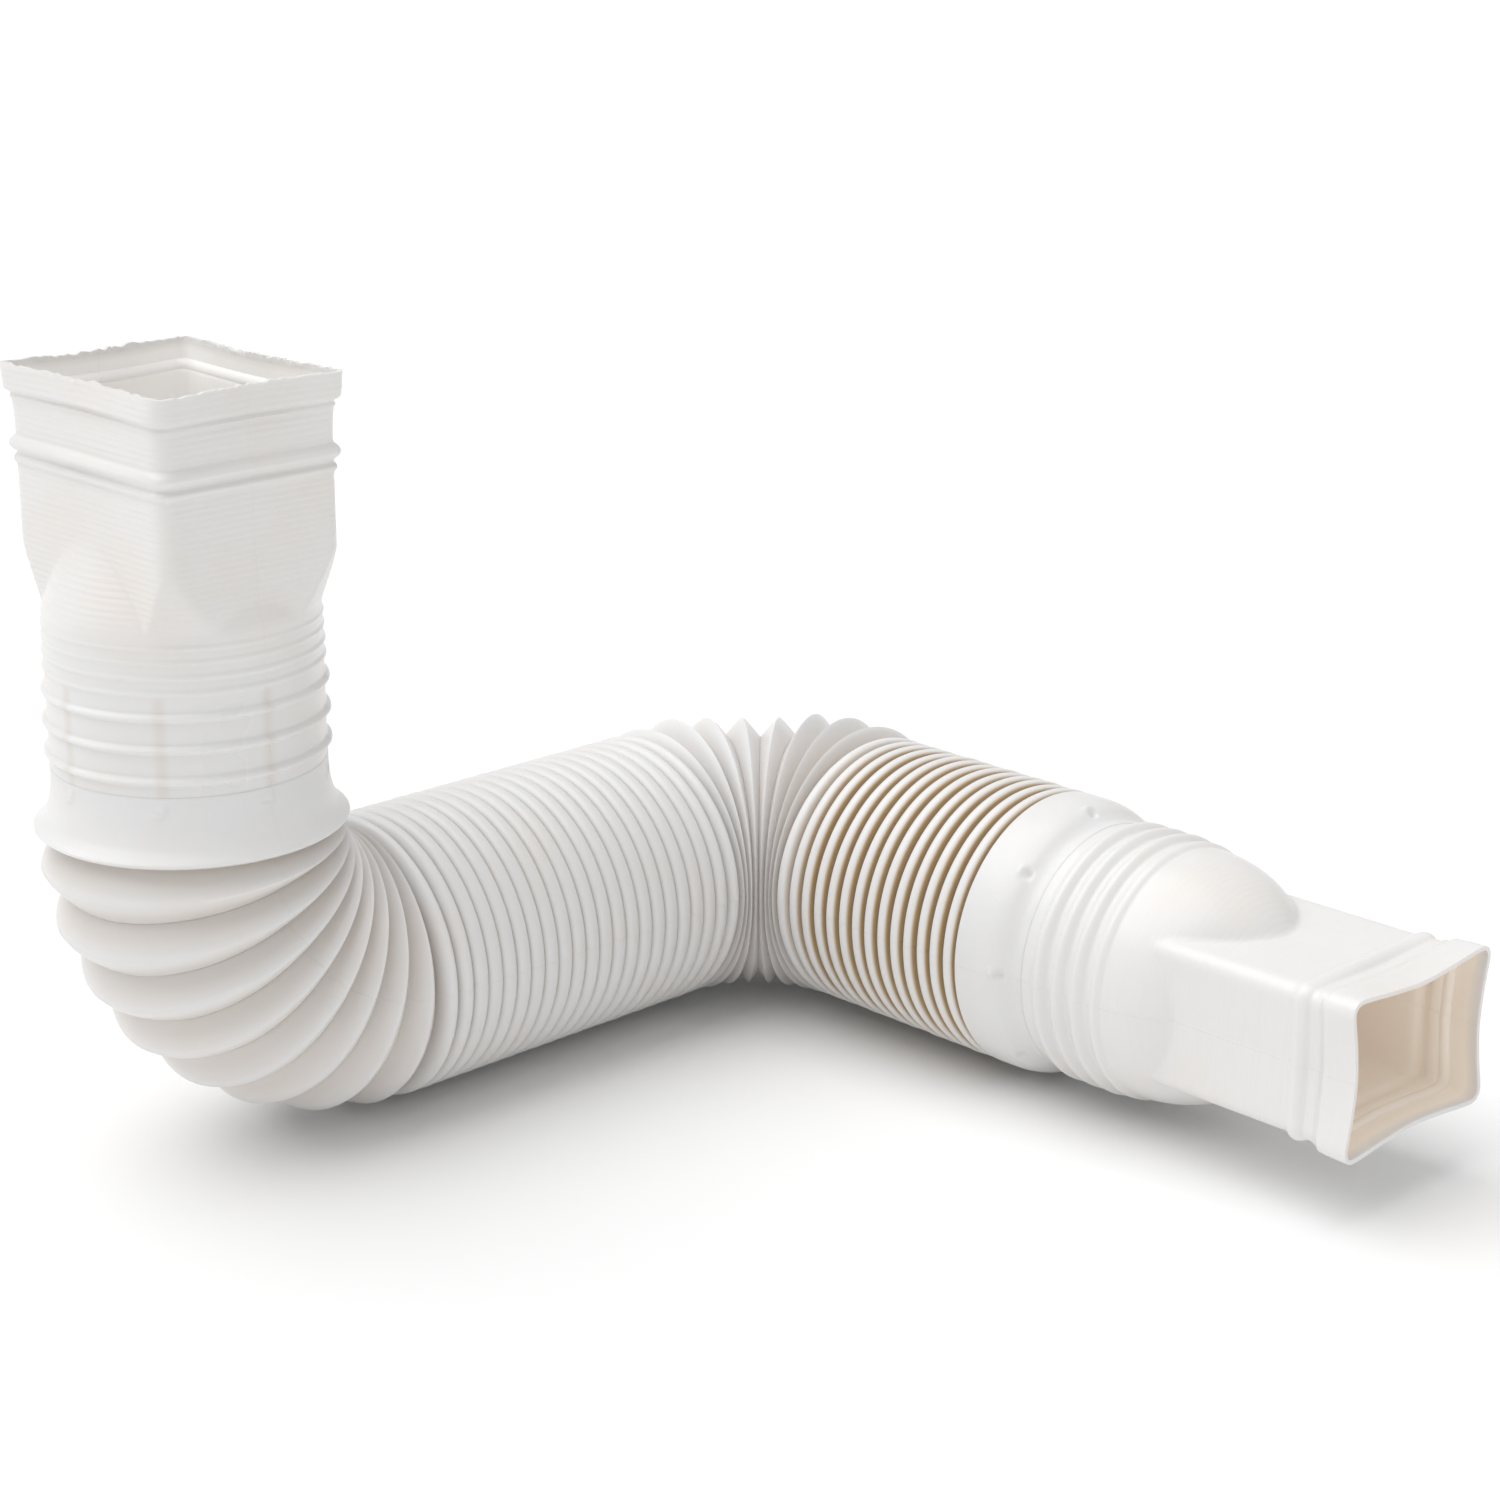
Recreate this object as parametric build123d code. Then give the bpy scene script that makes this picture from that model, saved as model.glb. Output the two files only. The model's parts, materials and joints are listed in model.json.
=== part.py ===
from build123d import *
from math import cos, hypot, radians, sin
import os

# A bendable rainwater duct: a pleated hose with a rectangular connector on each end.
# The hose comes down from the inlet, turns through a quarter bend to lie along +X, and turns
# through a second quarter bend to leave along -Y. Its crests rest on z = 0, and the origin is
# the middle of the footprint. All sizes are in millimetres.

# Hose: one thin skin folded into ring-shaped pleats, each a node of its own
CREST_RADIUS = 59.0
PLEAT_DEPTH = 9.0
HOSE_WALL = 0.9
CLOSED_PITCH = 7.4
CREST_ROUND = 2.7
LEG_1_PLEATS = 22
LEG_2_PLEATS = 14

# Quarter bends: the half-open pleats fan out round a centre just clear of their crests
BEND_ANGLE = 90.0
ELBOW_1_PLEATS = 8
ELBOW_1_INSIDE = 17.0
ELBOW_2_PLEATS = 8
ELBOW_2_INSIDE = 9.0
BEND_FOLD_WALL = 3.0
FAN_PROFILE = ((0.0, 0.0), (0.22, 0.72), (0.5, 1.0), (0.78, 0.72), (1.0, 0.0))

# Plain ends of the hose, and the round necks that snap into them
NECK_STEP = 6.5
NECK_CLEARANCE = 0.25
SPIGOT_DEPTH = 14.0
SNAP_BEAD_HEIGHT = 0.9
SNAP_BEAD_WIDTH = 2.4
MOUTH_BORE_LENGTH = 9.0
CUFF_LENGTH = 28.0
CUFF_CREST_HEIGHT = 4.0
CUFF_FLARE_LENGTH = 19.0
COLLAR_LENGTH = 31.4
COLLAR_STRAIGHT = 10.0
COLLAR_SHOULDER = 27.0

# Connectors: neck with ribs, dome, rectangular body with a bead and a flared lip
CONNECTOR_WALL = 1.2
RIB_RADIUS = 2.0
RIB_SINK = 0.4
FINE_RIB_RADIUS = 0.8
BODY_CORNER = 6.0
LIP_FLARE = 2.5
LIP_SLOPE = 6.0
BEAD_STAND_OUT = 2.0
BEAD_EDGE = 1.6

INLET_WIDTH_X = 79.0
INLET_WIDTH_Y = 99.0
INLET_BODY_LENGTH = 90.0
INLET_CONE_LENGTH = 32.0
INLET_DOME_LENGTH = 46.0
INLET_NECK_LENGTH = 61.0
INLET_LIP_LENGTH = 12.0
INLET_BEAD_FROM_RIM = 27.0
INLET_BEAD_LENGTH = 11.0
INLET_RIB_PITCH = 12.2
INLET_RIBS = 3
INLET_FIRST_RIB = 6.0
INLET_FINE_RIB_PITCH = 6.0
INLET_FINE_RIBS = 4
INLET_FIRST_FINE_RIB = 38.0

OUTLET_WIDTH_X = 84.0
OUTLET_WIDTH_Z = 61.0
OUTLET_BODY_LENGTH = 113.0
OUTLET_CONE_LENGTH = 20.0
OUTLET_DOME_LENGTH = 36.5
OUTLET_NECK_LENGTH = 40.0
OUTLET_LIP_LENGTH = 15.0
OUTLET_BEAD_FROM_RIM = 21.0
OUTLET_BEAD_LENGTH = 9.0
OUTLET_RIB_PITCH = 9.6
OUTLET_RIBS = 4
OUTLET_FIRST_RIB = 9.0

# Worked out from the sizes above
VALLEY_RADIUS = CREST_RADIUS - PLEAT_DEPTH
NECK_RADIUS = CREST_RADIUS - NECK_STEP
MOUTH_BORE = NECK_RADIUS + NECK_CLEARANCE
MOUTH_RADIUS = MOUTH_BORE + HOSE_WALL
ELBOW_1_RADIUS = CREST_RADIUS + ELBOW_1_INSIDE
ELBOW_2_RADIUS = CREST_RADIUS + ELBOW_2_INSIDE
LEG_1_LENGTH = LEG_1_PLEATS * CLOSED_PITCH
LEG_2_LENGTH = LEG_2_PLEATS * CLOSED_PITCH
OUTLET_REACH = COLLAR_LENGTH + OUTLET_NECK_LENGTH + OUTLET_BODY_LENGTH
AXIS_HEIGHT = CREST_RADIUS
UPPER_X = -(ELBOW_1_RADIUS + LEG_1_LENGTH + ELBOW_2_RADIUS) / 2
LEG_1_Y = (ELBOW_2_RADIUS + LEG_2_LENGTH + OUTLET_REACH - CREST_RADIUS) / 2
ELBOW_1_CENTRE = Vector(UPPER_X + ELBOW_1_RADIUS, LEG_1_Y, AXIS_HEIGHT + ELBOW_1_RADIUS)
LEG_1_START = Vector(ELBOW_1_CENTRE.X, LEG_1_Y, AXIS_HEIGHT)
ELBOW_2_CENTRE = LEG_1_START + Vector(LEG_1_LENGTH, -ELBOW_2_RADIUS, 0)
LEG_2_START = ELBOW_2_CENTRE + Vector(ELBOW_2_RADIUS, 0, 0)
HOSE_TOP = Vector(UPPER_X, LEG_1_Y, ELBOW_1_CENTRE.Z)
INLET_MOUTH_PLANE = HOSE_TOP + Vector(0, 0, CUFF_LENGTH)
LEG_2_END = LEG_2_START - Vector(0, LEG_2_LENGTH, 0)
OUTLET_MOUTH_PLANE = LEG_2_END - Vector(0, COLLAR_LENGTH, 0)


def ring_solid(profile):
    """Turn a closed profile in the local XZ plane once round the local Z axis."""
    return revolve(make_face(profile), Axis.Z, 360)


def straight_edges(points):
    """Straight lines through (radius, height) points of the XZ plane."""
    return Polyline(*[(radius, 0, height) for radius, height in points])


def bulge(start, middle, end):
    """An arc through three (radius, height) points of the XZ plane."""
    return ThreePointArc(*[(radius, 0, height) for radius, height in (start, middle, end)])


def closed_pleat():
    """A folded pleat: two steep flanks under a round crest, one pitch long."""
    flank = CLOSED_PITCH / 2 - CREST_ROUND
    shoulder = CREST_RADIUS - CREST_ROUND
    middle = CLOSED_PITCH / 2
    outer_foot, outer_top = (VALLEY_RADIUS, 0), (shoulder, flank)
    inner_foot, inner_top = (VALLEY_RADIUS - HOSE_WALL, 0), (shoulder, flank + HOSE_WALL)

    def far(point):
        return point[0], CLOSED_PITCH - point[1]

    profile = straight_edges([inner_foot, outer_foot, outer_top])
    profile += bulge(outer_top, (CREST_RADIUS, middle), far(outer_top))
    profile += straight_edges([far(outer_top), far(outer_foot), far(inner_foot), far(inner_top)])
    profile += bulge(far(inner_top), (CREST_RADIUS - HOSE_WALL, middle), inner_top)
    profile += straight_edges([inner_top, inner_foot])
    return ring_solid(profile)


def bend_station(centre, outward, along, radius, angle):
    """Point on a bend's centreline, with the outward and the forward direction there."""
    turn = radians(angle)
    out = outward * cos(turn) + along * sin(turn)
    forward = along * cos(turn) - outward * sin(turn)
    return centre + out * radius, out, forward


def fanned_pleat(centre, outward, along, radius, start_angle, end_angle):
    """A half-open pleat of a bend: wide on the outside of the bend and folded on the inside."""
    bend_axis = outward.cross(along)
    lining = (HOSE_WALL + BEND_FOLD_WALL) / 2
    shift = (BEND_FOLD_WALL - HOSE_WALL) / 2
    skin, hollow = [], []
    for share, rise in FAN_PROFILE:
        angle = start_angle + (end_angle - start_angle) * share
        point, out, forward = bend_station(centre, outward, along, radius, angle)
        ring_radius = VALLEY_RADIUS + PLEAT_DEPTH * rise
        skin.append(Plane(point, bend_axis, forward) * Circle(ring_radius))
        inner_place = Plane(point + out * shift, bend_axis, forward)
        hollow.append(inner_place * Circle(ring_radius - lining))
    return loft(skin, ruled=True) - loft(hollow, ruled=True)


def inlet_cuff():
    """Upper plain end of the hose: a mouth that flares down into one large pleat crest."""
    round_top = CUFF_CREST_HEIGHT + CREST_ROUND
    flare_end = CUFF_FLARE_LENGTH
    waist = (MOUTH_RADIUS * 2 + CREST_RADIUS) / 3
    lift = round_top + (flare_end - round_top) * 0.36
    profile = straight_edges([(VALLEY_RADIUS - HOSE_WALL, 0), (VALLEY_RADIUS, 0),
                              (CREST_RADIUS - 1, CUFF_CREST_HEIGHT - CREST_ROUND)])
    profile += bulge((CREST_RADIUS - 1, CUFF_CREST_HEIGHT - CREST_ROUND),
                     (CREST_RADIUS, CUFF_CREST_HEIGHT), (CREST_RADIUS - 1, round_top))
    profile += bulge((CREST_RADIUS - 1, round_top), (waist, lift), (MOUTH_RADIUS, flare_end))
    profile += straight_edges([(MOUTH_RADIUS, flare_end), (MOUTH_RADIUS, CUFF_LENGTH),
                               (MOUTH_BORE, CUFF_LENGTH), (MOUTH_BORE, flare_end)])
    profile += straight_edges([(MOUTH_BORE, flare_end),
                               (waist - HOSE_WALL, CUFF_LENGTH - SPIGOT_DEPTH - SNAP_BEAD_WIDTH),
                               (CREST_RADIUS - 2 - HOSE_WALL, round_top - HOSE_WALL),
                               (VALLEY_RADIUS - HOSE_WALL, 0)])
    return ring_solid(profile)


def outlet_collar():
    """Lower plain end of the hose: a smooth band whose shoulder closes to the mouth."""
    band = CREST_RADIUS - HOSE_WALL
    shoulder_mid = (COLLAR_STRAIGHT + (COLLAR_SHOULDER - COLLAR_STRAIGHT) * 0.62)
    drop = CREST_RADIUS - MOUTH_RADIUS
    outer_start, outer_end = (CREST_RADIUS, COLLAR_STRAIGHT), (MOUTH_RADIUS, COLLAR_SHOULDER)
    outer_mid = (CREST_RADIUS - drop * 0.36, shoulder_mid)
    step = COLLAR_LENGTH - MOUTH_BORE_LENGTH
    profile = straight_edges([(VALLEY_RADIUS - HOSE_WALL, 0), (VALLEY_RADIUS, 0),
                              (CREST_RADIUS - 1, 1), (CREST_RADIUS, 2), outer_start])
    profile += bulge(outer_start, outer_mid, outer_end)
    profile += straight_edges([outer_end, (MOUTH_RADIUS, COLLAR_LENGTH),
                               (MOUTH_BORE, COLLAR_LENGTH), (MOUTH_BORE, step),
                               (band - drop / 2, step - 2), (band, COLLAR_STRAIGHT),
                               (band, 2 + HOSE_WALL), (VALLEY_RADIUS - HOSE_WALL, 0)])
    return ring_solid(profile)


def turned_dome(radius, height):
    """Half an ellipsoid on the local XY plane, round about the local Z axis."""
    arc = EllipticalCenterArc((0, 0), radius, height, arc_size=90)
    profile = Plane.XZ * (arc + Polyline((0, height), (0, 0), (radius, 0)))
    return revolve(make_face(profile), Axis.Z, 360)


def rectangle_at(height, width, depth, corner):
    return Pos(0, 0, height) * RectangleRounded(width, depth, corner)


def tube_form(width, depth, neck, body, cone, dome, lip, inset):
    """The filled form of a connector, drawn in by inset all over; its mouth is left long."""
    over = inset and 1.0
    radius = NECK_RADIUS - inset
    wide, deep, corner = width - 2 * inset, depth - 2 * inset, BODY_CORNER - inset
    reach = max(hypot(width, depth) / 2, NECK_RADIUS) + 1 - inset
    top = neck + body
    form = Pos(0, 0, -SPIGOT_DEPTH - over) * Cylinder(
        radius, neck + SPIGOT_DEPTH + over, align=(Align.CENTER, Align.CENTER, Align.MIN))
    form += Pos(0, 0, neck) * turned_dome(radius, dome - inset)
    block = extrude(rectangle_at(neck, wide, deep, corner), body + over)
    cut = Pos(0, 0, neck) * Cone(radius, reach, cone, align=(Align.CENTER, Align.CENTER, Align.MIN))
    cut += Pos(0, 0, neck + cone) * Cylinder(
        reach, body - cone + over, align=(Align.CENTER, Align.CENTER, Align.MIN))
    form += block & cut
    flare_start = top - lip
    flare_end = flare_start + LIP_SLOPE
    flared = (wide + 2 * LIP_FLARE, deep + 2 * LIP_FLARE, corner + LIP_FLARE)
    form += loft([rectangle_at(flare_start, wide, deep, corner), rectangle_at(flare_end, *flared)])
    form += extrude(rectangle_at(flare_end, *flared), top - flare_end + over)
    return form


def bead_band(width, depth, height, length):
    """The raised band round a connector's body, with eased edges."""
    wide, deep = width + 2 * BEAD_STAND_OUT, depth + 2 * BEAD_STAND_OUT
    band = extrude(rectangle_at(height, wide, deep, BODY_CORNER + BEAD_STAND_OUT), length)
    rims = band.edges().filter_by(Plane.XY)
    return chamfer(rims, BEAD_EDGE)


def rib_ring(height, size, sink):
    """A round rib on the neck, its centre sunk a little below the neck's skin."""
    profile = Pos(NECK_RADIUS - sink, 0, height) * (Plane.XZ * Circle(size))
    return revolve(profile, Axis.Z, 360)


def snap_bead():
    """The bead on the spigot's end that keeps it in its mouth."""
    end = -SPIGOT_DEPTH
    crest = NECK_RADIUS + SNAP_BEAD_HEIGHT
    root = NECK_RADIUS - CONNECTOR_WALL / 2
    points = [(root, end), (crest - SNAP_BEAD_HEIGHT / 2, end), (crest, end + SNAP_BEAD_WIDTH / 2),
              (root, end + SNAP_BEAD_WIDTH), (root, end)]
    return ring_solid(straight_edges(points))


def connector(width, depth, neck, body, cone, dome, lip, bead_from_rim, bead_length, ribs):
    """One connector, its mouth plane at z = 0 and its rim upwards."""
    form = (width, depth, neck, body, cone, dome, lip)
    shell = tube_form(*form, 0)
    shell += bead_band(width, depth, neck + body - bead_from_rim - bead_length, bead_length)
    for height, size, sink in ribs:
        shell += rib_ring(height, size, sink)
    shell += snap_bead()
    return shell - tube_form(*form, CONNECTOR_WALL)


def inlet_connector():
    ribs = [(INLET_FIRST_RIB + i * INLET_RIB_PITCH, RIB_RADIUS, RIB_SINK)
            for i in range(INLET_RIBS)]
    ribs += [(INLET_FIRST_FINE_RIB + i * INLET_FINE_RIB_PITCH, FINE_RIB_RADIUS, 0)
             for i in range(INLET_FINE_RIBS)]
    return connector(INLET_WIDTH_X, INLET_WIDTH_Y, INLET_NECK_LENGTH, INLET_BODY_LENGTH,
                     INLET_CONE_LENGTH, INLET_DOME_LENGTH, INLET_LIP_LENGTH,
                     INLET_BEAD_FROM_RIM, INLET_BEAD_LENGTH, ribs)


def outlet_connector():
    ribs = [(OUTLET_FIRST_RIB + i * OUTLET_RIB_PITCH, RIB_RADIUS, RIB_SINK)
            for i in range(OUTLET_RIBS)]
    return connector(OUTLET_WIDTH_X, OUTLET_WIDTH_Z, OUTLET_NECK_LENGTH, OUTLET_BODY_LENGTH,
                     OUTLET_CONE_LENGTH, OUTLET_DOME_LENGTH, OUTLET_LIP_LENGTH,
                     OUTLET_BEAD_FROM_RIM, OUTLET_BEAD_LENGTH, ribs)


def leg_pleats(name, count, start, along, side):
    """The closed pleats of one straight leg, in line from its start."""
    pleat = closed_pleat()
    nodes = {}
    for i in range(count):
        place = Plane(start + along * (i * CLOSED_PITCH), side, along)
        nodes[f"{name}_pleat_{i + 1:02d}"] = place.location * pleat
    return nodes


def elbow_pleats(name, count, centre, outward, along, radius):
    """The fanned pleats of one quarter bend, in order along the hose."""
    step = BEND_ANGLE / count
    nodes = {}
    for i in range(count):
        pleat = fanned_pleat(centre, outward, along, radius, i * step, (i + 1) * step)
        nodes[f"{name}_pleat_{i + 1:02d}"] = pleat
    return nodes


RIGHT, AWAY, UP = Vector(1, 0, 0), Vector(0, 1, 0), Vector(0, 0, 1)


def duct():
    """Every piece of the duct by name, in order from the inlet to the outlet."""
    nodes = {
        "inlet_connector": Plane(INLET_MOUTH_PLANE, RIGHT, UP).location * inlet_connector(),
        "inlet_cuff": Plane(HOSE_TOP, RIGHT, UP).location * inlet_cuff(),
    }
    nodes.update(elbow_pleats("elbow_1", ELBOW_1_PLEATS, ELBOW_1_CENTRE, -RIGHT, -UP,
                              ELBOW_1_RADIUS))
    nodes.update(leg_pleats("leg_1", LEG_1_PLEATS, LEG_1_START, RIGHT, AWAY))
    nodes.update(elbow_pleats("elbow_2", ELBOW_2_PLEATS, ELBOW_2_CENTRE, AWAY, RIGHT,
                              ELBOW_2_RADIUS))
    nodes.update(leg_pleats("leg_2", LEG_2_PLEATS, LEG_2_START, -AWAY, RIGHT))
    nodes["outlet_collar"] = Plane(LEG_2_END, RIGHT, -AWAY).location * outlet_collar()
    nodes["outlet_connector"] = Plane(OUTLET_MOUTH_PLANE, RIGHT, -AWAY).location * outlet_connector()
    return nodes


os.makedirs("parts", exist_ok=True)
for node_name, solid in duct().items():
    export_step(solid, f"parts/{node_name}.step")
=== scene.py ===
import json
from math import cos, hypot, pi, radians, sin, sqrt, tau

import bpy
import numpy as np
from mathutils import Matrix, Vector, noise


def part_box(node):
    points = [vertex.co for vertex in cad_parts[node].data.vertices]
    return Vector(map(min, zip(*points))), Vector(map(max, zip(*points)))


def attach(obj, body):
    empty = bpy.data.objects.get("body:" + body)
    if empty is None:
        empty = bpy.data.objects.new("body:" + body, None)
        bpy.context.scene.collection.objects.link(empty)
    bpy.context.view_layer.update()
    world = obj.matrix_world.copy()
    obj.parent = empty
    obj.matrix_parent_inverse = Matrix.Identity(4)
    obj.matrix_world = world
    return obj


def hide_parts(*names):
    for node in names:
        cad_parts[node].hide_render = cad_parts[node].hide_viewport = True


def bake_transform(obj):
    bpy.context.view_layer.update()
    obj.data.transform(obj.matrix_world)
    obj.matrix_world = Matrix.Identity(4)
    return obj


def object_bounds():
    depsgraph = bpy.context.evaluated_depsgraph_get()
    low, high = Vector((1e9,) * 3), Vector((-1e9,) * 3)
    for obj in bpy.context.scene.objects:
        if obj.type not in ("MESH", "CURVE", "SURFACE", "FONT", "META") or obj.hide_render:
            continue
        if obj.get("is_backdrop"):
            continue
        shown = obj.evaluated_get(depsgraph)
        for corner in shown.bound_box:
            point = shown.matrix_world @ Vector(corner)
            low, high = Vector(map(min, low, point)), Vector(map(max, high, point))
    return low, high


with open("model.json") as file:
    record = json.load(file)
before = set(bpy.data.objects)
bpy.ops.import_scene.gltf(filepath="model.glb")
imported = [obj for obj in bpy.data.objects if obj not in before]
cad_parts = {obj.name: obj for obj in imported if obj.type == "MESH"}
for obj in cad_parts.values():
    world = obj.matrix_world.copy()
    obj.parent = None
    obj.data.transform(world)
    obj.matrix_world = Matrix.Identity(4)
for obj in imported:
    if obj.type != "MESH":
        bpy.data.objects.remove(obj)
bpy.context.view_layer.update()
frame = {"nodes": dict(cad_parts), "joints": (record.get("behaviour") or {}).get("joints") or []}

bl_info = {
    "name": "Pleated downspout duct",
    "version": (1, 0, 0),
    "blender": (4, 5, 0),
    "location": "3D View > Sidebar > Duct",
    "description": "Builds the white vinyl skin of a bendable rainwater duct around its frame",
    "category": "Object",
}

MM = 0.001
BLACK = (0.0, 0.0, 0.0)
NODES = frame["nodes"]
JOINTS = frame["joints"]


# ---------------------------------------------------------------- the duct's route, from the frame

def middle(node):
    low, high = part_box(node)
    return (low + high) / 2


def run_of(name):
    """The nodes of one leg or bend, in order along the hose."""
    return sorted(node for node in NODES if node.startswith(name + "_pleat_"))


LEG_1, LEG_2 = run_of("leg_1"), run_of("leg_2")
ELBOW_1, ELBOW_2 = run_of("elbow_1"), run_of("elbow_2")
LEG_1_LOW, LEG_1_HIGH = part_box(LEG_1[0])[0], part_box(LEG_1[-1])[1]
LEG_2_LOW, LEG_2_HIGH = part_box(LEG_2[-1])[0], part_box(LEG_2[0])[1]
CREST = (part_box(LEG_1[0])[1].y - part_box(LEG_1[0])[0].y) / 2
AXIS_Y = middle(LEG_1[0]).y
AXIS_Z = CREST
INLET_X = middle("inlet_cuff").x
OUTLET_X = middle("outlet_collar").x
PITCH = (LEG_1_HIGH.x - LEG_1_LOW.x) / len(LEG_1)
HOSE_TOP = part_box("inlet_cuff")[0].z
BEND_1_CENTRE = Vector((LEG_1_LOW.x, AXIS_Y, HOSE_TOP))
BEND_2_CENTRE = Vector((LEG_1_HIGH.x, LEG_2_HIGH.y, AXIS_Z))
BEND_1_RADIUS = HOSE_TOP - AXIS_Z
BEND_2_RADIUS = AXIS_Y - LEG_2_HIGH.y
INLET_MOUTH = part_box("inlet_cuff")[1].z
OUTLET_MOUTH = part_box("outlet_collar")[0].y
INLET_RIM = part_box("inlet_connector")[1].z
OUTLET_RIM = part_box("outlet_connector")[0].y
SPIGOT = INLET_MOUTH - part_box("inlet_connector")[0].z

# Half sizes of the connectors' rectangular bodies, without the lips that the frame's boxes hold
INLET_HALF_X = 39.5 * MM
INLET_HALF_Y = 49.5 * MM
OUTLET_HALF_X = 42.0 * MM
OUTLET_HALF_Z = 30.5 * MM

LEFT, RIGHT = Vector((-1, 0, 0)), Vector((1, 0, 0))
AWAY, NEAR = Vector((0, 1, 0)), Vector((0, -1, 0))
UP, DOWN = Vector((0, 0, 1)), Vector((0, 0, -1))


# ---------------------------------------------------------------- small helpers

def smooth_step(low, high, value):
    t = min(1.0, max(0.0, (value - low) / (high - low)))
    return t * t * (3 - 2 * t)


def soft_min(a, b, blend):
    h = max(blend - abs(a - b), 0.0) / blend
    return min(a, b) - h * h * blend / 4


def soft_max(a, b, blend):
    return -soft_min(-a, -b, blend)


def hump(value, centre, half_width):
    """A rounded rise of height 1 at centre, gone at half_width to either side."""
    t = abs(value - centre) / half_width
    return (1 - t * t) ** 2 if t < 1 else 0.0


def near_turn(turn, marks, half_width):
    """1 on any of the marked directions, falling to 0 half a width away."""
    return max(hump((turn - mark + pi) % tau - pi, 0.0, half_width) for mark in marks)


# Directions round the hose in which the mould left its bars, hooks and dimples
EIGHTHS = [pi / 4 * i for i in range(8)]


def deselect_all():
    if bpy.context.object and bpy.context.object.mode != "OBJECT":
        bpy.ops.object.mode_set(mode="OBJECT")
    bpy.ops.object.select_all(action="DESELECT")


def new_piece(name):
    """The primitive that was just added, named, and alone in the selection."""
    piece = bpy.context.object
    piece.name = name
    piece.data.name = name
    return piece


def edit(piece, *steps):
    """Run edit-mode steps on everything in the piece."""
    bpy.context.view_layer.objects.active = piece
    bpy.ops.object.mode_set(mode="EDIT")
    bpy.ops.mesh.select_all(action="SELECT")
    for step in steps:
        step()
    bpy.ops.object.mode_set(mode="OBJECT")


def weld():
    bpy.ops.mesh.remove_doubles(threshold=0.002 * MM)


def face_outwards():
    bpy.ops.mesh.normals_make_consistent(inside=False)


def place_points(piece, points):
    piece.data.vertices.foreach_set("co", np.array(points, np.float32).ravel())
    piece.data.update()


def read_points(piece):
    points = np.zeros(len(piece.data.vertices) * 3, np.float32)
    piece.data.vertices.foreach_get("co", points)
    return points.reshape(-1, 3).astype(float)


def store(piece, name, values):
    """Keep one number per point under a name that the vinyl reads."""
    layer = piece.data.attributes.get(name) or piece.data.attributes.new(name, "FLOAT", "POINT")
    layer.data.foreach_set("value", np.array(values, np.float32))


def apply_wall(piece, thickness):
    """Give an open skin its wall, inwards."""
    wall = piece.modifiers.new("wall", "SOLIDIFY")
    wall.thickness = thickness
    wall.offset = -1
    wall.use_even_offset = False
    bpy.context.view_layer.objects.active = piece
    bpy.ops.object.modifier_apply(modifier="wall")


def smooth_shade(piece, angle):
    deselect_all()
    piece.select_set(True)
    bpy.context.view_layer.objects.active = piece
    bpy.ops.object.shade_smooth_by_angle(angle=radians(angle))
    deselect_all()


# ---------------------------------------------------------------- user settings

class HoseSettings(bpy.types.PropertyGroup):
    """Sizes of the pleated hose that the frame doesn't give"""
    pleat_depth: bpy.props.FloatProperty(
        name="Pleat depth", description="Crest to valley of a closed pleat",
        default=9.0 * MM, unit="LENGTH")
    wall: bpy.props.FloatProperty(
        name="Hose wall", description="Thickness of the hose's skin",
        default=0.9 * MM, unit="LENGTH")
    columns: bpy.props.IntProperty(
        name="Columns", description="Points round a pleat", default=128, min=32, max=256)
    open_lift: bpy.props.FloatProperty(
        name="Valley lift", description="How far a valley rises on the outside of a bend",
        default=1.0 * MM, unit="LENGTH")
    inner_lift: bpy.props.FloatProperty(
        name="Inner lift", description="How far the valleys rise on the inside of the tight bend",
        default=6.0 * MM, unit="LENGTH")
    tent_height: bpy.props.FloatProperty(
        name="Tent height", description="How far the second bend's open crests stand proud",
        default=2.8 * MM, unit="LENGTH")


class ConnectorSettings(bpy.types.PropertyGroup):
    """Sizes of the two end connectors that the frame doesn't give"""
    wall: bpy.props.FloatProperty(
        name="Connector wall", description="Thickness of the connectors' walls",
        default=1.8 * MM, unit="LENGTH")
    columns: bpy.props.IntProperty(
        name="Columns", description="Points round a connector", default=256, min=64, max=512)
    raggedness: bpy.props.FloatProperty(
        name="Trimmed edge", description="Unevenness of the knife-trimmed inlet rim",
        default=1.4 * MM, unit="LENGTH")


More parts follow.
